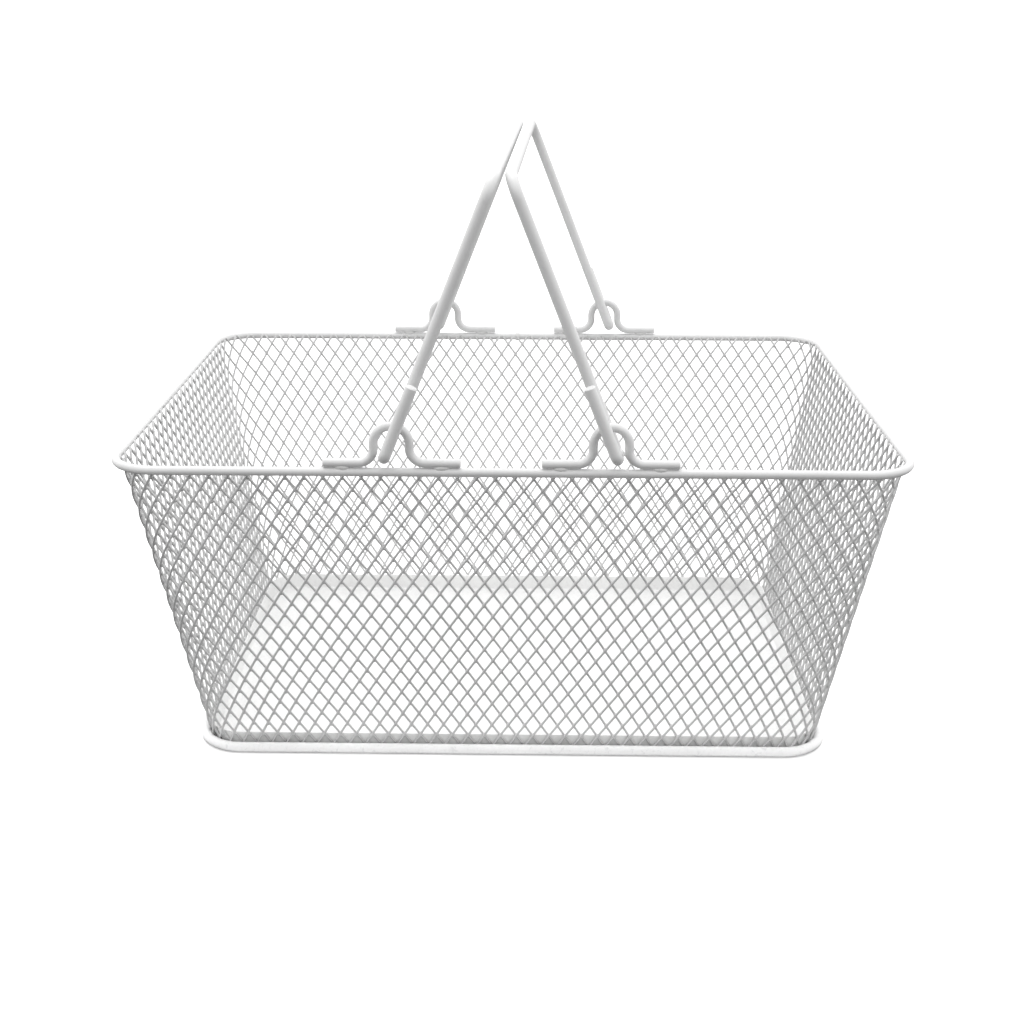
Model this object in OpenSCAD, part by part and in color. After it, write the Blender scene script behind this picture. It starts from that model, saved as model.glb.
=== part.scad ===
// Wire hand shopping basket with two folding carry handles.
// Origin at the centre of the foot, on the ground. +X runs along the length, +Z up.

/* [Basket] */
// Outside length of the rim, end to end
rim_len = 430; // [400:5:480]
// Outside width of the rim, front to back
rim_wid = 310; // [270:5:340]
// Height of the top of the rim above the ground
rim_top = 186; // [150:2:220]
// Outside radius of the rim's corners
rim_corner_r = 28; // [24:1:40]
// Outside radius of the corners of the ring round the foot
foot_corner_r = 27; // [22:1:36]
// How far each wall leans in between the rim and the foot
wall_inset = 29; // [24:1:38]

/* [Wires and sheet] */
// Diameter of the rim wire
rim_d = 4.8; // [4:0.2:5.6]
// Diameter of the ring round the foot
ring_d = 6; // [5:0.5:7]
// Thickness of the mesh over two crossing strands
mesh_t = 2.4; // [2:0.2:3]
// Thickness of the floor's sheet metal
pan_t = 0.8; // [0.6:0.1:1.2]
// Height of the floor's turned-up edge
pan_edge_h = 11; // [8:0.5:14]

/* [Pivot loops] */
// Distance between the two loops on one side of the rim
loop_spacing = 114; // [100:2:130]
// How far the loops are set off along the rim: to the left in front, to the right at the back
loop_skew = 5; // [0:0.5:6]
// Diameter of the loop wire
loop_d = 4.8; // [4.2:0.2:5.2]
// Half the distance between a loop's two uprights, at the middle of the wire
loop_half_w = 9.3; // [8.8:0.1:10]
// Height from the middle of a foot to the middle of the wire at the top of the loop
loop_rise = 20; // [19:0.5:24]
// Radius of the bend between an upright and its foot
loop_fillet_r = 8; // [6:0.5:8]
// Distance from a loop's centre to the end of each foot
loop_foot_end = 36; // [33:1:40]
// Distance from a loop's centre to the middle of each foot weld
weld_x = 26; // [24:1:28]

/* [Handles] */
// Diameter of the handle rod
rod_d = 6.3; // [5.5:0.1:6.8]
// Distance from the pivot axis to the middle of the grip
leg_len = 152; // [135:1:165]
// Radius of the bend between a leg and the grip
grip_bend_r = 11; // [8:0.5:15]
// Radius of the two small bends in each end hook
hook_bend_r = 4; // [3.6:0.1:4.2]
// Height of a hook's cut end above the pivot axis
hook_len = 42; // [34:1:55]
// Height of the pivot axis above the rim
pivot_rise = 6.5; // [5.5:0.1:7]
// Gap between the two grips when they lean together
grip_gap = 1.8; // [0.4:0.1:3]
// Gap between a handle rod and the side of its loop
side_gap = 0.35; // [0.3:0.05:0.8]

/* [Hidden] */
$fn = 64;
coat = "whitesmoke";
mesh_coat = "gainsboro";

// How deep a weld bites, where one piece is fused to the next
weld_bite = 0.3;
// Gap that a foot weld fills between the loop wire and the rim
weld_gap = 0.25;
weld_d = 4.2;
weld_len = 6;
// A butt weld is a low bump round the wire
bump_h = 0.4;
bump_half_len = 1.6;
// The foot ring's butt weld is ground away below this height
weld_ground_z = 1;

// The hooks' extra room is rounded up to a whole number of these steps
hook_step = 0.05;

// Small chamfer on every cut end of rod and wire
end_chamfer = 0.5;
// Flat steps in which a mesh corner is bent
corner_steps = 16;

// Axes of the rounded corners of the rim and of the foot
rim_axis_x = rim_len / 2 - rim_corner_r;
rim_axis_y = rim_wid / 2 - rim_corner_r;
foot_axis_x = rim_len / 2 - wall_inset - foot_corner_r;
foot_axis_y = rim_wid / 2 - wall_inset - foot_corner_r;

// Middles of the two wires, as distance out from the rim's outside line and height
rim_out = -rim_d / 2;
rim_z = rim_top - rim_d / 2;
ring_out = -wall_inset - ring_d / 2;
ring_z = ring_d / 2;
rim_y = rim_wid / 2 + rim_out;
ring_y = rim_wid / 2 + ring_out;

// The mesh lies inside both rings, and each bites into it a little
rim_reach = rim_d / 2 - weld_bite;
ring_reach = ring_d / 2 - weld_bite;
span = norm([rim_out - ring_out, rim_z - ring_z]);
wall_tilt = atan2(rim_out - ring_out, rim_z - ring_z) - asin((rim_reach - ring_reach) / span);
wall_offset = rim_out * cos(wall_tilt) - rim_z * sin(wall_tilt) - rim_reach;
mesh_low = 1.4;
mesh_high = rim_top - 1;
// How far out from the rim's outside line the wall is at height z, at a depth in from its outer face
function wall_out(z, depth) = (wall_offset - depth + z * sin(wall_tilt)) / cos(wall_tilt);
// How far out from that line the axis of a mesh corner is at height z
axis_slope = (wall_inset + foot_corner_r - rim_corner_r) / (rim_z - ring_z);
function axis_out(z) = -rim_corner_r - (rim_z - z) * axis_slope;

// Height of a loop's feet, at the middle of the wire
foot_z = rim_top + weld_gap + loop_d / 2;
loop_x = loop_spacing / 2;
// Where along X a loop is. side_x and side_y are 1 or -1
function loop_at(side_x, side_y) = side_x * loop_x + side_y * loop_skew;

// The handles are turned a little about Z, to follow the loops that they hang in
handle_turn = asin(loop_skew / rim_y);

// The hook passes from one side of its loop to the other, and rests by the loop's outer upright.
// The turned rod needs more room beside the loop's feet, where it lies when it's folded out.
turn_room = ceil(loop_foot_end * sin(handle_turn) / hook_step) * hook_step;
hook_off = (rod_d + loop_d) / 2 + side_gap + turn_room;
leg_y = rim_y - hook_off;
hook_y = rim_y + hook_off;
pivot_x = loop_x + loop_half_w - loop_d / 2 - side_gap - rod_d / 2;
pivot_z = rim_top + pivot_rise;
lean = asin((pivot_x * cos(handle_turn) - rod_d / 2 - grip_gap / 2) / leg_len);

// ---- Sweeps round a rectangle whose corner axes are at [x, y] and its mirror points.
// Quarter 0 is the right end, and they go anticlockwise.

// Carries an outline, in distance from the corner axis and height, along one straight side
module along_side(quarter, x, y) {
    off = quarter % 2 == 0 ? x : y;
    half = quarter % 2 == 0 ? y : x;
    rotate([0, 0, 90 * quarter])
        translate([off, half, 0])
            rotate([90, 0, 0])
                linear_extrude(2 * half)
                    children();
}

// Carries the same outline round the corner that follows that side
module round_corner(quarter, x, y) {
    side_x = quarter == 0 || quarter == 3 ? x : -x;
    side_y = quarter < 2 ? y : -y;
    translate([side_x, side_y, 0])
        rotate([0, 0, 90 * quarter])
            rotate_extrude(angle = 90)
                children();
}

module all_round(x, y) {
    for (quarter = [0 : 3]) {
        along_side(quarter, x, y) children();
        round_corner(quarter, x, y) children();
    }
}

// ---- Rings

module rim_wire() {
    color(coat)
        all_round(rim_axis_x, rim_axis_y)
            translate([rim_corner_r - rim_d / 2, rim_z])
                circle(d = rim_d);
}

module base_ring() {
    color(coat)
        all_round(foot_axis_x, foot_axis_y)
            translate([foot_corner_r - ring_d / 2, ring_z])
                circle(d = ring_d);
}

// A bump round a straight wire of diameter d that runs along X through [0, y, z]
module butt_weld(d, y, z) {
    flat = bump_half_len / 2;
    color(coat)
        translate([0, y, z])
            rotate([0, 90, 0])
                rotate_extrude()
                    polygon([
                        [d / 2, -bump_half_len], [d / 2 + bump_h, -flat],
                        [d / 2 + bump_h, flat], [d / 2, bump_half_len]
                    ]);
}

module rim_butt_weld() {
    butt_weld(rim_d, rim_y, rim_z);
}

module base_ring_butt_weld() {
    intersection() {
        butt_weld(ring_d, ring_y, ring_z);
        translate([-2 * bump_half_len, ring_y - ring_d, weld_ground_z])
            cube([4 * bump_half_len, 2 * ring_d, 2 * ring_d]);
    }
}

// ---- Mesh walls, as closed sheets of the mesh's full thickness

// The four edges of the wall's section: height, and depth in from the outer face
WALL_EDGES = [[mesh_low, 0], [mesh_high, 0], [mesh_high, mesh_t], [mesh_low, mesh_t]];

module wall_outline() {
    polygon([for (e = WALL_EDGES) [wall_out(e[0], e[1]), e[0]]]);
}

// One flat side: the wall's section run along it, trimmed to the lines where the corners start
module mesh_side(quarter) {
    outside = (quarter % 2 == 0 ? rim_len : rim_wid) / 2;
    along = (quarter % 2 == 0 ? rim_wid : rim_len) / 2;
    low = along + axis_out(mesh_low);
    high = along + axis_out(mesh_high);
    color(mesh_coat)
        rotate([0, 0, 90 * quarter])
            intersection() {
                translate([outside, along, 0])
                    rotate([90, 0, 0])
                        linear_extrude(2 * along)
                            wall_outline();
                rotate([90, 0, 90])
                    linear_extrude(outside)
                        polygon([[-low, mesh_low], [low, mesh_low], [high, mesh_high], [-high, mesh_high]]);
            }
}

// A point on the corner's wall at angle a round its axis
function corner_point(a, z, depth) =
    let (r = wall_out(z, depth) - axis_out(z))
    [rim_len / 2 + axis_out(z) + r * cos(a), rim_wid / 2 + axis_out(z) + r * sin(a), z];

// One rounded corner: it leans in along its own sloping axis. side_x and side_y are 1 or -1
module mesh_corner(side_x, side_y) {
    points = [
        for (i = [0 : corner_steps], e = WALL_EDGES)
            corner_point(90 * i / corner_steps, e[0], e[1])
    ];
    walls = [
        for (i = [0 : corner_steps - 1], k = [0 : 3])
            [4 * i + k, 4 * i + (k + 1) % 4, 4 * (i + 1) + (k + 1) % 4, 4 * (i + 1) + k]
    ];
    last = 4 * corner_steps;
    ends = [[3, 2, 1, 0], [last, last + 1, last + 2, last + 3]];
    color(mesh_coat)
        mirror([side_x < 0 ? 1 : 0, 0, 0])
            mirror([0, side_y < 0 ? 1 : 0, 0])
                polyhedron(points, concat(walls, ends));
}

// ---- Floor: a pressed sheet whose turned-up edge holds the foot of the mesh

module pan_edge_outline() {
    outer = mesh_t - weld_bite;
    inner = outer + pan_t;
    // Distance from the foot's corner axis to the wall
    function r(z, depth) = wall_out(z, depth) + wall_inset + foot_corner_r;
    polygon([
        [0, 0],
        [r(0, outer), 0],
        [r(pan_edge_h, outer), pan_edge_h],
        [r(pan_edge_h, inner), pan_edge_h],
        [r(pan_t, inner), pan_t],
        [0, pan_t]
    ]);
}

module floor_pan() {
    color(coat) {
        translate([-foot_axis_x, -foot_axis_y, 0])
            cube([2 * foot_axis_x, 2 * foot_axis_y, pan_t]);
        all_round(foot_axis_x, foot_axis_y)
            pan_edge_outline();
    }
}

// A rod of diameter d up from the origin, whose far end is cut off with a small chamfer
module cut_rod(d, h) {
    cylinder(d = d, h = h - end_chamfer);
    translate([0, 0, h - end_chamfer])
        cylinder(d1 = d, d2 = d - 2 * end_chamfer, h = end_chamfer);
}

// ---- Pivot loops: hat-shaped wires that stand on the rim

module loop_half() {
    straight = loop_rise - loop_fillet_r - loop_half_w;
    foot_start = loop_half_w + loop_fillet_r;
    translate([loop_half_w, 0, loop_fillet_r])
        cylinder(d = loop_d, h = straight);
    translate([foot_start, 0, loop_fillet_r])
        rotate([90, 180, 0])
            rotate_extrude(angle = 90)
                translate([loop_fillet_r, 0])
                    circle(d = loop_d);
    translate([foot_start, 0, 0])
        rotate([0, 90, 0])
            cut_rod(loop_d, loop_foot_end - foot_start);
}

module pivot_loop(side_x, side_y) {
    color(coat)
        translate([loop_at(side_x, side_y), side_y * rim_y, foot_z]) {
            loop_half();
            mirror([1, 0, 0])
                loop_half();
            translate([0, 0, loop_rise - loop_half_w])
                rotate([90, 0, 0])
                    rotate_extrude(angle = 180)
                        translate([loop_half_w, 0])
                            circle(d = loop_d);
        }
}

// A bar of diameter d along X, centred on the origin
module bar_x(d, len) {
    rotate([0, 90, 0])
        cylinder(d = d, h = len, center = true);
}

// The two fillets of weld under one loop's feet
module loop_welds(side_x, side_y) {
    color(coat)
        for (side = [-1, 1])
            translate([loop_at(side_x, side_y) + side * weld_x, side_y * rim_y, rim_top + weld_gap / 2])
                difference() {
                    bar_x(weld_d, weld_len);
                    translate([0, 0, (weld_gap + loop_d) / 2])
                        bar_x(loop_d, 2 * weld_len);
                    translate([0, 0, -(weld_gap + rim_d) / 2])
                        bar_x(rim_d, 2 * weld_len);
                }
}

// ---- Handles: each one is a single bent rod with a hook at both ends

// A quarter bend of the rod in the YZ plane, from angle start, about [y, z]
module rod_bend(y, z, r, start) {
    translate([0, y, z])
        rotate([90, 0, 90])
            rotate([0, 0, start])
                rotate_extrude(angle = 90)
                    translate([r, 0])
                        circle(d = rod_d);
}

module rod_up(y, low, high) {
    translate([0, y, low])
        cylinder(d = rod_d, h = high - low);
}

module rod_across(near, far, z) {
    translate([0, near, z])
        rotate([-90, 0, 0])
            cylinder(d = rod_d, h = far - near);
}

// One side of a handle: leg, grip bend and end hook, with the pivot axis at z = 0
module handle_half() {
    rod_bend(leg_y - grip_bend_r, leg_len - grip_bend_r, grip_bend_r, 0);
    rod_up(leg_y, hook_bend_r, leg_len - grip_bend_r);
    rod_bend(leg_y + hook_bend_r, hook_bend_r, hook_bend_r, 180);
    rod_across(leg_y + hook_bend_r, hook_y - hook_bend_r, 0);
    rod_bend(hook_y - hook_bend_r, hook_bend_r, hook_bend_r, 270);
    translate([0, hook_y, hook_bend_r])
        cut_rod(rod_d, hook_len - hook_bend_r);
}

// side is 1 for the right handle and -1 for the left, and each leans to the middle
module handle(side) {
    grip_half = leg_y - grip_bend_r;
    color(coat)
        translate([side * pivot_x, 0, pivot_z])
            rotate([0, 0, -handle_turn])
                rotate([0, -side * lean, 0]) {
                    handle_half();
                    mirror([0, 1, 0])
                        handle_half();
                    rod_across(-grip_half, grip_half, leg_len);
                }
}

rim_wire();
rim_butt_weld();
mesh_side(0);  // right_mesh
mesh_side(1);  // back_mesh
mesh_side(2);  // left_mesh
mesh_side(3);  // front_mesh
mesh_corner(1, 1);  // back_right_corner_mesh
mesh_corner(-1, 1);  // back_left_corner_mesh
mesh_corner(-1, -1);  // front_left_corner_mesh
mesh_corner(1, -1);  // front_right_corner_mesh
floor_pan();
base_ring();
base_ring_butt_weld();
pivot_loop(-1, -1);  // front_left_loop
pivot_loop(1, -1);  // front_right_loop
pivot_loop(-1, 1);  // back_left_loop
pivot_loop(1, 1);  // back_right_loop
loop_welds(-1, -1);  // front_left_loop_welds
loop_welds(1, -1);  // front_right_loop_welds
loop_welds(-1, 1);  // back_left_loop_welds
loop_welds(1, 1);  // back_right_loop_welds
handle(-1);  // left_handle
handle(1);  // right_handle
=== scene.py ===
"""A wire mesh hand shopping basket: real strands, a sheet floor, weld beads and powder coat."""

import math
import random

import bmesh
import bpy
import numpy as np
from mathutils import Matrix, Vector, noise


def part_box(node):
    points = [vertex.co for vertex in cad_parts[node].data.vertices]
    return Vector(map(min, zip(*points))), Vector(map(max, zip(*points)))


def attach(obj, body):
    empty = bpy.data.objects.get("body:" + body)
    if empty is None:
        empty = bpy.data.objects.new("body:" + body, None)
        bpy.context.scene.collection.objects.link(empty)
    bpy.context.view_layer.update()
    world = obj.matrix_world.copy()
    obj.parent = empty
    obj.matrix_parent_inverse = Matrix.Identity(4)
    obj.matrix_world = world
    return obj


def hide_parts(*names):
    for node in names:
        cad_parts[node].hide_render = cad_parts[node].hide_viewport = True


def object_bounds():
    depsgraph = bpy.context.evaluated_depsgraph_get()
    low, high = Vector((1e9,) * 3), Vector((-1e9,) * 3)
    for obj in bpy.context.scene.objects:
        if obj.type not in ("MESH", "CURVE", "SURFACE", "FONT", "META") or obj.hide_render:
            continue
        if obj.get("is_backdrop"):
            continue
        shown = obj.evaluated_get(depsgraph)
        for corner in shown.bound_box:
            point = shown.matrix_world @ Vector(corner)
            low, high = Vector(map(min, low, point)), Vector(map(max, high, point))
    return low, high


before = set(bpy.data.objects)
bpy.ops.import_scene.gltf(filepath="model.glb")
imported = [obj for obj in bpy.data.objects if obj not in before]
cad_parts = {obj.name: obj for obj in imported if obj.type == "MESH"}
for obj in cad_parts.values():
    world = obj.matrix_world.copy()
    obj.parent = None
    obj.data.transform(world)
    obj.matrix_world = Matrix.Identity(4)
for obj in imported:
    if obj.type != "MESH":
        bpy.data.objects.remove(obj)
cad_low, cad_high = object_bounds()
random.seed(7)
MM = 0.001
SAME = 0.01 * MM  # points closer than this are level with each other
QUARTERS = ((1, 1), (-1, 1), (-1, -1), (1, -1))  # signs of x and y, anticlockwise from the back right


# ---------------------------------------------------------------- sizes, read from the frame
def lerp(pair, t):
    """The value at share t of the way from the first of the pair to the second."""
    return pair[0] + (pair[1] - pair[0]) * t


def edges(node, across, along):
    """A wall's outer and inner distance from the middle, and half its length, each low and high.

    The fourth value holds the two heights.
    """
    points = [(abs(v.co[across]), abs(v.co[along]), v.co.z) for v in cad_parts[node].data.vertices]
    levels = min(p[2] for p in points), max(p[2] for p in points)
    rows = [[p for p in points if abs(p[2] - level) < SAME] for level in levels]
    outer = [max(p[0] for p in row) for row in rows]
    inner = [min(p[0] for p in row) for row in rows]
    half = [max(p[1] for p in row) for row in rows]
    return outer, inner, half, levels


_, rim_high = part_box("rim_wire")
_, ring_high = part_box("base_ring")
front_out, front_in, axis_x, (foot_z, top_z) = edges("front_mesh", 1, 0)
_, _, axis_y, _ = edges("right_mesh", 0, 1)
wall_slope = (front_out[1] - front_out[0]) / (top_z - foot_z)
wall_cos = 1 / math.hypot(1, wall_slope)
mesh_t = (front_out[0] - front_in[0]) * wall_cos
axis_lean = (axis_x[1] - axis_x[0]) / (top_z - foot_z)


def axes_at(z):
    """Where the corner axes are at height z."""
    t = (z - foot_z) / (top_z - foot_z)
    return lerp(axis_x, t), lerp(axis_y, t)


def corner_r(z, depth):
    """The wall's radius round a corner axis, at height z and at a depth in from its outer face."""
    t = (z - foot_z) / (top_z - foot_z)
    return lerp(front_out, t) - lerp(axis_y, t) - depth / wall_cos


# ---------------------------------------------------------------- mesh building helpers
class Soup:
    """Gathers many tubes and caps into one mesh."""

    def __init__(self):
        self.verts = []
        self.faces = []

    def ring(self, centre, across, over, radius, sides):
        """Adds a circle of points, and gives the number of its first one."""
        start = len(self.verts)
        for k in range(sides):
            a = 2 * math.pi * k / sides
            self.verts.append(centre + across * (radius * math.cos(a)) + over * (radius * math.sin(a)))
        return start

    def bridge(self, a, b, sides):
        """Joins two closed rows of points with a band of faces."""
        for k in range(sides):
            n = (k + 1) % sides
            self.faces.append((a + k, a + n, b + n, b + k))

    def cap(self, start, sides, flip):
        """Closes a row of points with one face."""
        ids = [start + k for k in range(sides)]
        self.faces.append(tuple(ids if flip else reversed(ids)))

    def tube(self, path, normals, radius, sides, end_round=0.35):
        """A swept wire with its two cut ends slightly rounded over."""
        count = len(path)
        last = None
        for i, (p, n) in enumerate(zip(path, normals)):
            t = (path[min(i + 1, count - 1)] - path[max(i - 1, 0)]).normalized()
            b = t.cross(n).normalized()
            n = b.cross(t)
            steps = [(0.0, 1.0)]
            if i == 0:
                steps = [(0.0, 1 - end_round), (radius * end_round, 1.0)]
            elif i == count - 1:
                steps = [(-radius * end_round, 1.0), (0.0, 1 - end_round)]
            for along, share in steps:
                start = self.ring(p + t * along, n, b, radius * share, sides)
                if last is None:
                    self.cap(start, sides, False)
                else:
                    self.bridge(last, start, sides)
                last = start
        self.cap(last, sides, True)

    def build(self, name, material):
        """Makes the mesh an object, with smooth shading."""
        mesh = bpy.data.meshes.new(name)
        mesh.from_pydata([tuple(v) for v in self.verts], [], self.faces)
        mesh.update()
        bm = bmesh.new()
        bm.from_mesh(mesh)
        bmesh.ops.recalc_face_normals(bm, faces=bm.faces)
        bm.to_mesh(mesh)
        bm.free()
        mesh.polygons.foreach_set("use_smooth", [True] * len(mesh.polygons))
        mesh.materials.append(material)
        obj = bpy.data.objects.new(name, mesh)
        bpy.context.scene.collection.objects.link(obj)
        return obj


# ---------------------------------------------------------------- powder coat
BARE_STEEL = (0.42, 0.42, 0.43, 1)


def powder_coat(name, colour, roughness, peel_mm, peel_height, shade=0.04, wear=0.0):
    """Gloss powder coat: faint orange peel, uneven gloss, and a little grime that varies over the piece.

    peel_mm and peel_height are the width and height of the orange peel's waves, in millimetres.
    shade is how much the grime darkens, and wear how much bare steel shows through.
    """
    mat = bpy.data.materials.new(name)
    mat.use_nodes = True
    tree = mat.node_tree
    nodes, links = tree.nodes, tree.links
    shader = nodes["Principled BSDF"]
    coords = nodes.new("ShaderNodeTexCoord")

    def noise_node(size_mm, detail, distortion=0.0):
        n = nodes.new("ShaderNodeTexNoise")
        n.inputs["Scale"].default_value = 1 / (size_mm * MM)
        n.inputs["Detail"].default_value = detail
        n.inputs["Distortion"].default_value = distortion
        links.new(coords.outputs["Object"], n.inputs["Vector"])
        return n

    def ramp(source, low, high, left, right):
        r = nodes.new("ShaderNodeValToRGB")
        r.color_ramp.elements[0].position = low
        r.color_ramp.elements[1].position = high
        r.color_ramp.elements[0].color = (*left, 1)
        r.color_ramp.elements[1].color = (*right, 1)
        links.new(source, r.inputs["Fac"])
        return r

    grime = tuple(c * (1 - shade) for c in colour)
    tint = ramp(noise_node(size_mm=38, detail=4).outputs["Fac"], 0.35, 0.62, grime, colour)
    speck = noise_node(size_mm=1.7, detail=2)
    speckled = nodes.new("ShaderNodeMix")
    speckled.data_type = "RGBA"
    speckled.blend_type = "MULTIPLY"
    speckled.inputs["Factor"].default_value = 1.0
    links.new(tint.outputs["Color"], speckled.inputs["A"])
    dull = (1 - shade * 0.8,) * 3
    specks = ramp(speck.outputs["Fac"], 0.28, 0.5, dull, (1, 1, 1))
    links.new(specks.outputs["Color"], speckled.inputs["B"])
    colour_out = speckled.outputs["Result"]
    if wear:
        rub = nodes.new("ShaderNodeMix")
        rub.data_type = "RGBA"
        scuff = noise_node(size_mm=2.6, detail=5, distortion=0.6)
        scuffs = ramp(scuff.outputs["Fac"], 0.60, 0.68, (0, 0, 0), (wear,) * 3)
        links.new(scuffs.outputs["Color"], rub.inputs["Factor"])
        links.new(colour_out, rub.inputs["A"])
        rub.inputs["B"].default_value = BARE_STEEL
        colour_out = rub.outputs["Result"]
    links.new(colour_out, shader.inputs["Base Color"])
    patches = noise_node(size_mm=9, detail=3)
    gloss = ramp(patches.outputs["Fac"], 0.3, 0.7, (roughness - 0.05,) * 3, (roughness + 0.07,) * 3)
    links.new(gloss.outputs["Color"], shader.inputs["Roughness"])
    peel = noise_node(peel_mm, detail=3, distortion=0.3)
    bump = nodes.new("ShaderNodeBump")
    bump.inputs["Strength"].default_value = 0.6
    bump.inputs["Distance"].default_value = peel_height * MM
    links.new(peel.outputs["Fac"], bump.inputs["Height"])
    links.new(bump.outputs["Normal"], shader.inputs["Normal"])
    shader.inputs["Specular IOR Level"].default_value = 0.5
    shader.inputs["Coat Weight"].default_value = 0.25
    shader.inputs["Coat Roughness"].default_value = 0.18
    return mat


def grey(level):
    """A neutral colour of this level."""
    return (level,) * 3


WHITE = grey(0.73)
rod_coat = powder_coat("rod_powder_coat", WHITE, roughness=0.34, peel_mm=2.2, peel_height=0.05)
rim_coat = powder_coat("rim_powder_coat", WHITE, roughness=0.36, peel_mm=2.4, peel_height=0.05)
# The ring's coat is lighter than the rods', though it is the same white coat: painted light, standing in for
# the floor's bounce on the ring.
ring_coat = powder_coat(
    "ring_powder_coat", grey(0.90), roughness=0.40, peel_mm=2.4, peel_height=0.06, shade=0.06, wear=0.25
)
# The strands get a darker grey than the rods, though the whole basket wears one white coat: painted shade,
# standing in for the grazing light on the thin strands.
mesh_coat = powder_coat(
    "strand_powder_coat", grey(0.60), roughness=0.42, peel_mm=1.1, peel_height=0.04, shade=0.08
)
# The floor pan's coat is lighter than the rods' as well: painted light, standing in for the floor's bounce on
# the pan near the floor.
pan_coat = powder_coat(
    "pan_powder_coat", (0.86, 0.86, 0.855), roughness=0.45, peel_mm=3.0, peel_height=0.06, shade=0.07
)
weld_coat = powder_coat(
    "weld_powder_coat", (0.70, 0.70, 0.695), roughness=0.44, peel_mm=0.9, peel_height=0.12, shade=0.08
)

# ---------------------------------------------------------------- the mesh wall
STRANDS = 139  # of each family, round the basket
STRAND_R = 0.70 * MM
ROW_TOP, ROW_FOOT = 6.98 * MM, 7.68 * MM  # distance between rows of crossings, at the rim and at the foot
FIRST_ROW = top_z - 6.2 * MM
PHASE = 0.16  # how far the pattern is turned at the rim, in strands
TWIST = 0.33  # how far it has turned back at the foot, in strands
GATHER, GATHER_W = 0.10, 50 * MM  # how much tighter strands crowd at the foot's corners, and over what length
CROWD, CROWD_W = 0.22, 25 * MM  # how much tighter they are at the foot of the short sides
WANDER = 0.10  # how far strands stray from their place, in strands
WANDER_ROUND, WANDER_UP = 2.6, 22  # how fast the straying changes round the basket, and with each metre up
WANDER_SEED = 3.0
STRAND_SIDES = 8
STRAND_STEPS = 90
CUT_LOW = (0.0, 1.2)  # how far the cut ends fall short of the band's foot and top, from least to most, in mm
CUT_HIGH = (0.1, 1.3)
SPOT_SIDES = 6
SPOT_WIDE, SPOT_TALL, SPOT_DEEP = 1.05, 1.55, 1.02  # half the size of a fused spot, in mm
SPOT_RINGS = ((-1.0, 0.45), (-0.55, 0.92), (0.55, 0.92), (1.0, 0.45))  # shares of its depth, and of its width
SPOT_MARGIN = 2 * MM  # least height of a spot above the band's foot


def rows_down(z):
    """How many rows of crossings lie between the first row and height z."""
    a = (ROW_FOOT - ROW_TOP) / (FIRST_ROW - foot_z)
    return math.log(1 + a * (FIRST_ROW - z) / ROW_TOP) / a


def row_height(n):
    """The height of the nth row of crossings."""
    a = (ROW_FOOT - ROW_TOP) / (FIRST_ROW - foot_z)
    return FIRST_ROW - (math.exp(a * n) - 1) * ROW_TOP / a


def quarter_lengths(z, depth):
    """Lengths along a quarter of the wall, from a long side's middle to a short side's.

    They are the lengths to the corner's start, to its end, and in all.
    """
    x, y = axes_at(z)
    bend = math.pi / 2 * corner_r(z, depth)
    return x, x + bend, x + bend + y


def gather_table():
    """Share of the strands passed against share of the length, along a quarter of the foot."""
    start, end, whole = quarter_lengths(foot_z, mesh_t / 2)
    middle = (start + end) / 2
    samples = 400
    s = np.linspace(0, whole, samples)
    crowding = 1 + CROWD * (0.5 + 0.5 * np.tanh((s - middle) / CROWD_W))
    gathering = 1 - GATHER * np.exp(-(((s - middle) / GATHER_W) ** 2))
    density = crowding / gathering
    passed = np.concatenate([[0], np.cumsum((density[1:] + density[:-1]) / 2)])
    return passed / passed[-1], s / whole


gather_share, gather_length = gather_table()


def on_wall(turn, z, depth):
    """Point and outward normal on the wall. turn runs anticlockwise from 0 at the front's middle to 1."""
    turn %= 1.0
    quarter = int(turn * 4)
    f = turn * 4 - quarter
    if quarter % 2:
        f = 1 - f
    sink = max(0.0, min(1.0, (top_z - z) / (top_z - foot_z)))
    f = f + (float(np.interp(f, gather_share, gather_length)) - f) * sink
    r = corner_r(z, depth)
    middle_x, middle_y = axes_at(z)
    arc_start, arc_end, whole = quarter_lengths(z, depth)
    s = f * whole
    if s < arc_start:
        x, y, nx, ny = s, middle_y + r, 0.0, 1.0
    elif s < arc_end:
        a = (s - arc_start) / r
        nx, ny = math.sin(a), math.cos(a)
        x, y = middle_x + r * nx, middle_y + r * ny
    else:
        x, y, nx, ny = middle_x + r, middle_y - (s - arc_end), 1.0, 0.0
    # Quarters run: front middle to right middle, to back middle, to left middle, to front middle
    sx = 1 if quarter in (0, 1) else -1
    sy = -1 if quarter in (0, 3) else 1
    slope = axis_lean * (nx + ny) + wall_slope - axis_lean
    return Vector((x * sx, y * sy, z)), Vector((nx * sx, ny * sy, -slope)).normalized()


def thin_out(points, normals, bend=math.radians(3.5), longest=13 * MM):
    """Drops points along the straight stretches of a path."""
    keep = [0]
    for i in range(1, len(points) - 1):
        before = points[i] - points[keep[-1]]
        after = points[i + 1] - points[i]
        if before.angle(after, 0) + normals[i].angle(normals[keep[-1]], 0) > bend or before.length > longest:
            keep.append(i)
    keep.append(len(points) - 1)
    return [points[i] for i in keep], [normals[i] for i in keep]


def wander(turn, z):
    """Small smooth errors of a formed mesh, in strands."""
    a = 2 * math.pi * turn
    place = Vector((math.cos(a) * WANDER_ROUND, math.sin(a) * WANDER_ROUND, z * WANDER_UP + WANDER_SEED))
    return WANDER * noise.noise(place)


def strand_turn(k, z, lean):
    """Where strand k of the family that leans this way is at height z."""
    twist = TWIST * (top_z - z) / (top_z - foot_z)
    turn = (k + PHASE - twist - lean * rows_down(z) / 2) / STRANDS
    return turn + wander(turn, z) / STRANDS


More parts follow.
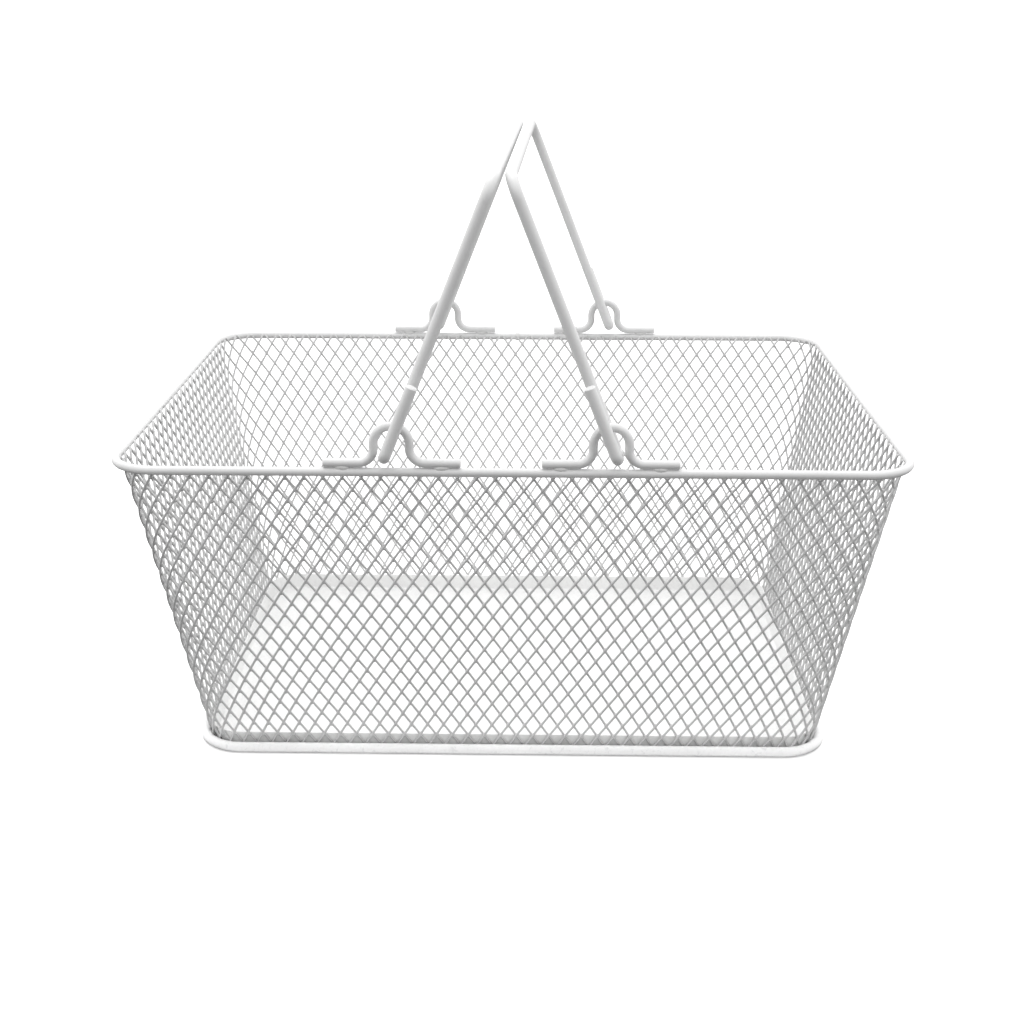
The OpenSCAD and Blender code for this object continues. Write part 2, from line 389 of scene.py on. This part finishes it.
def strand_family(name, lean, depth):
    """All the strands that lean one way, with their middles at this depth in the wall."""
    soup = Soup()
    for k in range(STRANDS):
        low = foot_z + random.uniform(*CUT_LOW) * MM
        high = top_z - random.uniform(*CUT_HIGH) * MM
        points, normals = [], []
        for i in range(STRAND_STEPS + 1):
            z = low + (high - low) * i / STRAND_STEPS
            p, n = on_wall(strand_turn(k, z, lean), z, depth)
            points.append(p)
            normals.append(n)
        soup.tube(*thin_out(points, normals), STRAND_R, STRAND_SIDES)
    return soup.build(name, mesh_coat)


def crossing_welds():
    """A small fused spot at every crossing, drawn out up and down into the tight corners of the diamonds."""
    soup = Soup()
    row = 0
    while row_height(row) > foot_z + SPOT_MARGIN:
        z = row_height(row)
        row += 1
        for k in range(STRANDS):
            p, out = on_wall(strand_turn(k, z, 1), z, mesh_t / 2)
            over = (Vector((0, 0, 1)) - out * out.z).normalized()
            across = over.cross(out)
            size = random.uniform(0.9, 1.12)
            last = None
            for depth, wide in SPOT_RINGS:
                start = len(soup.verts)
                for i in range(SPOT_SIDES):
                    a = 2 * math.pi * i / SPOT_SIDES
                    spread = across * (SPOT_WIDE * math.cos(a)) + over * (SPOT_TALL * math.sin(a))
                    soup.verts.append(p + (spread * wide * size + out * (depth * SPOT_DEEP)) * MM)
                if last is None:
                    soup.cap(start, SPOT_SIDES, False)
                else:
                    soup.bridge(last, start, SPOT_SIDES)
                last = start
            soup.cap(last, SPOT_SIDES, True)
    return soup.build("mesh_crossing_welds", mesh_coat)


MESH_NODES = ["front_mesh", "back_mesh", "left_mesh", "right_mesh"]
CORNER_NODES = [
    "back_right_corner_mesh", "back_left_corner_mesh", "front_left_corner_mesh", "front_right_corner_mesh",
]
outer_strands = strand_family("mesh_outer_strands", 1, STRAND_R)
inner_strands = strand_family("mesh_inner_strands", -1, mesh_t - STRAND_R)
for strands in (outer_strands, inner_strands, crossing_welds()):
    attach(strands, "basket")
    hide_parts(*MESH_NODES, *CORNER_NODES)

# ---------------------------------------------------------------- the floor, a pressed sheet
THINNEST = 0.1 * MM  # no sheet is thinner than this
FOLD_R = 2.2 * MM  # outer radius of the fold
FOLD_STEPS = 8
LIP_STEPS = 6  # round the top of the turned-up edge
EDGE_SHARES = (0.35, 0.6, 0.8, 0.94)  # of the edge's height, where its two flat faces have points
CORNER_STEPS = 16
SIDE_STEPS = 24
FLOOR_RINGS = 14
RIPPLE, RIPPLES = 0.12, 9  # height of the floor's unevenness in mm, and its waves in a metre
RIPPLE_SEED = 4.0

pan_low, pan_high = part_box("floor_pan")
pan_points = [v.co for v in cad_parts["floor_pan"].data.vertices]
pan_t = min(p.z for p in pan_points if p.z > pan_low.z + THINNEST) - pan_low.z
foot_points = [p for p in pan_points if p.z < pan_low.z + SAME]
pan_out_x = max(p.x for p in foot_points)
pan_out_y = max(p.y for p in foot_points)
pan_axis_x = max(p.x for p in foot_points if p.y > pan_out_y - SAME)
pan_axis_y = max(p.y for p in foot_points if p.x > pan_out_x - SAME)
pan_lean = (pan_high.x - pan_out_x) / (pan_high.z - pan_low.z)


def pan_section():
    """Distances in from the outside at the foot, and heights: up the outside and down the inside."""
    edge = pan_high.z - pan_low.z
    tilt = math.atan(pan_lean)
    section = []

    def fold(radius, inset, floor):
        """The bend between the sheet and its turned-up edge, from the floor to the edge."""
        middle_z = floor + radius
        middle_in = inset - pan_lean * middle_z + radius / math.cos(tilt)
        for i in range(FOLD_STEPS + 1):
            a = (math.pi / 2 - tilt) * i / FOLD_STEPS
            yield middle_in - radius * math.sin(a), middle_z - radius * math.cos(a)

    section += list(fold(FOLD_R, 0.0, 0.0))
    for share in EDGE_SHARES:
        section.append((-pan_lean * edge * share, edge * share))
    for i in range(1, LIP_STEPS):
        a = math.pi * i / LIP_STEPS
        inset = -pan_lean * edge + pan_t / 2 * (1 - math.cos(a))
        section.append((inset, edge - pan_t * (1 - math.sin(a)) / 2))
    inner = pan_t / math.cos(tilt)
    for share in reversed(EDGE_SHARES):
        section.append((inner - pan_lean * edge * share, edge * share))
    section += list(fold(FOLD_R - pan_t, inner, pan_t))[::-1]
    return section


def pan_outline():
    """A corner axis and an outward direction for each point round the pan, anticlockwise from the right."""
    around = []
    for quarter, (sx, sy) in enumerate(QUARTERS):
        nx, ny = QUARTERS[(quarter + 1) % 4]
        for i in range(CORNER_STEPS + 1):
            a = math.pi / 2 * (quarter + i / CORNER_STEPS)
            around.append((sx * pan_axis_x, sy * pan_axis_y, math.cos(a), math.sin(a)))
        out_x, out_y = around[-1][2:]
        for i in range(1, SIDE_STEPS):
            x = lerp((sx * pan_axis_x, nx * pan_axis_x), i / SIDE_STEPS)
            y = lerp((sy * pan_axis_y, ny * pan_axis_y), i / SIDE_STEPS)
            around.append((x, y, out_x, out_y))
    return around


def pressed_pan():
    """The floor sheet with its turned-up edge, as one closed skin."""
    soup = Soup()
    section = pan_section()
    around = pan_outline()
    wall_r = pan_out_x - pan_axis_x
    count = len(around)
    rows = []
    for inset, z in section:
        rows.append(len(soup.verts))
        for x, y, nx, ny in around:
            r = wall_r - inset
            soup.verts.append(Vector((x + nx * r, y + ny * r, pan_low.z + z)))
    for a, b in zip(rows, rows[1:]):
        soup.bridge(a, b, count)
    soup.cap(rows[0], count, False)
    last = rows[-1]
    # The floor itself is very slightly uneven, in rings that shrink to the middle
    for ring in range(1, FLOOR_RINGS):
        share = 1 - ring / FLOOR_RINGS
        start = len(soup.verts)
        for x, y, nx, ny in around:
            r = wall_r - section[-1][0]
            flat = Vector(((x + nx * r) * share, (y + ny * r) * share, 0))
            place = Vector((flat.x * RIPPLES, flat.y * RIPPLES, RIPPLE_SEED))
            ripple = noise.noise(place) * RIPPLE * MM * (1 - share)
            flat.z = pan_low.z + pan_t + ripple
            soup.verts.append(flat)
        soup.bridge(last, start, count)
        last = start
    soup.cap(last, count, True)
    return soup.build("pressed_floor_pan", pan_coat)


pan = pressed_pan()
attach(pan, "basket")
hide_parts("floor_pan")


# ---------------------------------------------------------------- weld beads under the feet of the loops
BEAD_LEN = 6.0 * MM  # of each fillet of the frame
BEAD_LIFT = 0.1 * MM  # how far the bead's middle is above the rim wire
BEAD_HALF = (4.0 * MM, 2.25 * MM, 1.9 * MM)  # half the length, width and height of a bead
BEAD_RINGS, BEAD_SIDES = 14, 16
END_CUT = 0.35  # of a ring, left off each end so that it isn't a point
BLUNTNESS = 0.75  # under 1, the ends are blunter than an ellipse
WAVE, WAVES = 0.05, 13  # height of the ripples along the bead, as a share, and how close they are
LUMP, LUMPS_ALONG, LUMPS_ROUND = 0.10, 1.8, 1.2  # height of its lumps, as a share, and how close they are


def weld_bead(soup, middle, half_len, half_wide, half_high):
    """A blob of weld that fills the groove between two wires, with the ripples of a short bead."""
    seed = middle.x * 900 + middle.y * 70  # so that no two beads are alike
    last = None
    for i in range(BEAD_RINGS + 1):
        u = -math.cos(math.pi * (i + END_CUT) / (BEAD_RINGS + 2 * END_CUT))
        wide = math.sqrt(1 - u * u) ** BLUNTNESS * (1 + WAVE * math.cos(u * WAVES))
        start = len(soup.verts)
        for k in range(BEAD_SIDES):
            a = 2 * math.pi * k / BEAD_SIDES
            place = Vector((u * LUMPS_ALONG + seed, math.cos(a) * LUMPS_ROUND, math.sin(a) * LUMPS_ROUND))
            lump = 1 + LUMP * noise.noise(place)
            soup.verts.append(middle + Vector((
                half_len * u,
                half_wide * wide * lump * math.cos(a),
                half_high * wide * lump * math.sin(a),
            )))
        if last is None:
            soup.cap(start, BEAD_SIDES, False)
        else:
            soup.bridge(last, start, BEAD_SIDES)
        last = start
    soup.cap(last, BEAD_SIDES, True)


for name in [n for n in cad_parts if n.endswith("_loop_welds")]:
    low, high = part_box(name)
    middle_y = ((low + high) / 2).y
    soup = Soup()
    for x in (low.x + BEAD_LEN / 2, high.x - BEAD_LEN / 2):
        weld_bead(soup, Vector((x, middle_y, rim_high.z + BEAD_LIFT)), *BEAD_HALF)
    beads = soup.build(name.replace("_welds", "_weld_beads"), weld_coat)
    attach(beads, "basket")
    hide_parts(name)

# ---------------------------------------------------------------- materials on the CAD wires
LOOKS = {
    "rim_wire": rim_coat,
    "rim_butt_weld": weld_coat,
    "base_ring": ring_coat,
    "base_ring_butt_weld": weld_coat,
    "floor_pan": pan_coat,
}
for name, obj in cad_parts.items():
    look = LOOKS.get(name, weld_coat if name.endswith("_welds") else rod_coat)
    obj.data.materials.clear()
    obj.data.materials.append(look)

# ---------------------------------------------------------------- floor, wall and card, for the light only
REACH = 24.0  # half the floor's width
FLOOR_DROP, CARD_DROP = 0.2 * MM, 0.4 * MM  # how far they lie under the basket
WALL_R, WALL_FOOT, WALL_SIDES = 0.8 * REACH, -1.0, 64
CARD_GAP, CARD_WIDTH = 1 * MM, 14 * MM  # between the ring and the card, and across the card


def studio_look(name, level, settings):
    """A plain grey material, with its shader's other settings by name."""
    look = bpy.data.materials.new(name)
    look.use_nodes = True
    shader = look.node_tree.nodes["Principled BSDF"]
    shader.inputs["Base Color"].default_value = (*grey(level), 1)
    shader.inputs["Emission Color"].default_value = (*grey(1), 1)
    for setting, value in settings.items():
        shader.inputs[setting].default_value = value
    return look


def studio_piece(name, points, faces, look):
    """An object of the studio, made from points and faces."""
    mesh = bpy.data.meshes.new(name)
    mesh.from_pydata(points, [], faces)
    mesh.materials.append(look)
    obj = bpy.data.objects.new(name, mesh)
    bpy.context.scene.collection.objects.link(obj)
    return obj


def band(count):
    """The faces between two closed rows of this many points."""
    return [(k, (k + 1) % count, count + (k + 1) % count, count + k) for k in range(count)]


floor_look = studio_look(
    "pale_floor", 0.93, {"Roughness": 0.9, "Specular IOR Level": 0.1, "Emission Strength": 0.35}
)
floor_points = [(-REACH, -REACH, 0), (REACH, -REACH, 0), (REACH, REACH, 0), (-REACH, REACH, 0)]
studio_floor = studio_piece("studio_floor", floor_points, [(0, 1, 2, 3)], floor_look)
studio_floor.location.z = cad_low.z - FLOOR_DROP
studio_floor.visible_diffuse = False
studio_floor.visible_glossy = False
studio_floor.visible_shadow = False
studio_floor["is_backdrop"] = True

# A white wall far behind everything, only for the camera
wall_turns = [2 * math.pi * k / WALL_SIDES for k in range(WALL_SIDES)]
wall_round = [(WALL_R * math.cos(a), WALL_R * math.sin(a)) for a in wall_turns]
wall_points = [(x, y, z) for z in (WALL_FOOT, REACH) for x, y in wall_round]
wall_look = studio_look("lit_wall", 0.9, {"Emission Strength": 1.0})
studio_wall = studio_piece("studio_wall", wall_points, band(WALL_SIDES), wall_look)
studio_wall.visible_diffuse = False
studio_wall.visible_glossy = False
studio_wall.visible_transmission = False
studio_wall.visible_shadow = False
studio_wall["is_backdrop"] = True

# A narrow white frame just under the floor round the foot, unseen by the camera, that throws light
# back on the ring and the floor pan
card_in = (ring_high.x + CARD_GAP, ring_high.y + CARD_GAP)
card_out = (card_in[0] + CARD_WIDTH, card_in[1] + CARD_WIDTH)
card_points = [(sx * x, sy * y, 0) for x, y in (card_in, card_out) for sx, sy in QUARTERS]
card_look = studio_look("white_card", 0.95, {"Roughness": 0.9})
bounce_card = studio_piece("bounce_card", card_points, band(4), card_look)
bounce_card.location.z = cad_low.z - CARD_DROP
bounce_card.visible_camera = False
bounce_card.visible_shadow = False
bounce_card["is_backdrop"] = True

# ---------------------------------------------------------------- sky and key light
# Brightest above and a little behind, with side panels, and dim towards the camera and below
SKY_UP, SKY_BACK, SKY_SIDE = 0.92, 0.17, 0.46
SKY = [(0.0, 0.05), (0.27, 0.06), (0.5, 0.18), (0.72, 0.92), (1.0, 0.96)]  # place and level of each stop
SKY_STRENGTH = 1.40

world = bpy.data.worlds.new("studio")
bpy.context.scene.world = world
world.use_nodes = True
w_nodes, w_links = world.node_tree.nodes, world.node_tree.links
background = w_nodes["Background"]
w_coords = w_nodes.new("ShaderNodeTexCoord")
w_split = w_nodes.new("ShaderNodeSeparateXYZ")
w_ramp = w_nodes.new("ShaderNodeValToRGB")
w_links.new(w_coords.outputs["Generated"], w_split.inputs["Vector"])


def w_math(operation, *values):
    """A maths node of the world, on outputs or numbers."""
    n = w_nodes.new("ShaderNodeMath")
    n.operation = operation
    for socket, value in zip(n.inputs, values):
        if isinstance(value, (int, float)):
            socket.default_value = value
        else:
            w_links.new(value, socket)
    return n.outputs[0]


upward = w_math("MULTIPLY", w_split.outputs["Z"], SKY_UP)
behind = w_math("MULTIPLY", w_split.outputs["Y"], SKY_BACK)
sideways = w_math("MULTIPLY", w_math("ABSOLUTE", w_split.outputs["X"]), SKY_SIDE)
aim = w_math("ADD", w_math("ADD", upward, behind), sideways)
w_links.new(w_math("MULTIPLY_ADD", aim, 0.5, 0.5), w_ramp.inputs["Fac"])
while len(w_ramp.color_ramp.elements) < len(SKY):
    w_ramp.color_ramp.elements.new(0.5)
for element, (position, level) in zip(w_ramp.color_ramp.elements, SKY):
    element.position = position
    element.color = (*grey(level), 1)
w_links.new(w_ramp.outputs["Color"], background.inputs["Color"])
background.inputs["Strength"].default_value = SKY_STRENGTH

sun = bpy.data.lights.new("soft_key", "SUN")
sun.energy = 0.9
sun.angle = math.radians(50)
sun_obj = bpy.data.objects.new("soft_key", sun)
sun_obj.rotation_euler = (math.radians(-14), math.radians(-8), 0)
bpy.context.scene.collection.objects.link(sun_obj)

# ---------------------------------------------------------------- camera
CAMERA_AT = (0.0109, -0.8604, 0.4247)
CAMERA_DOWN, CAMERA_YAW, CAMERA_ROLL = math.radians(20.368), math.radians(-0.828), math.radians(0.141)


def camera_turn(down, yaw, roll):
    """The camera's rotation, from looking along +Y with +Z up."""
    ahead = Vector((math.sin(yaw) * math.cos(down), math.cos(yaw) * math.cos(down), -math.sin(down)))
    right = Vector((math.cos(yaw), -math.sin(yaw), 0))
    up = right.cross(ahead)
    rolled_right = right * math.cos(roll) + up * math.sin(roll)
    rolled_up = up * math.cos(roll) - right * math.sin(roll)
    return Matrix((rolled_right, rolled_up, -ahead)).transposed().to_4x4()


camera = bpy.data.cameras.new("camera")
camera.sensor_width = 36
camera.lens = 50.47
camera.clip_start, camera.clip_end = 0.01, 200
camera_obj = bpy.data.objects.new("camera", camera)
turned = camera_turn(CAMERA_DOWN, CAMERA_YAW, CAMERA_ROLL)
camera_obj.matrix_world = Matrix.Translation(CAMERA_AT) @ turned
bpy.context.scene.collection.objects.link(camera_obj)
bpy.context.scene.camera = camera_obj

view = bpy.context.scene.view_settings
view.view_transform = "Standard"
view.look = "None"

low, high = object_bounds()
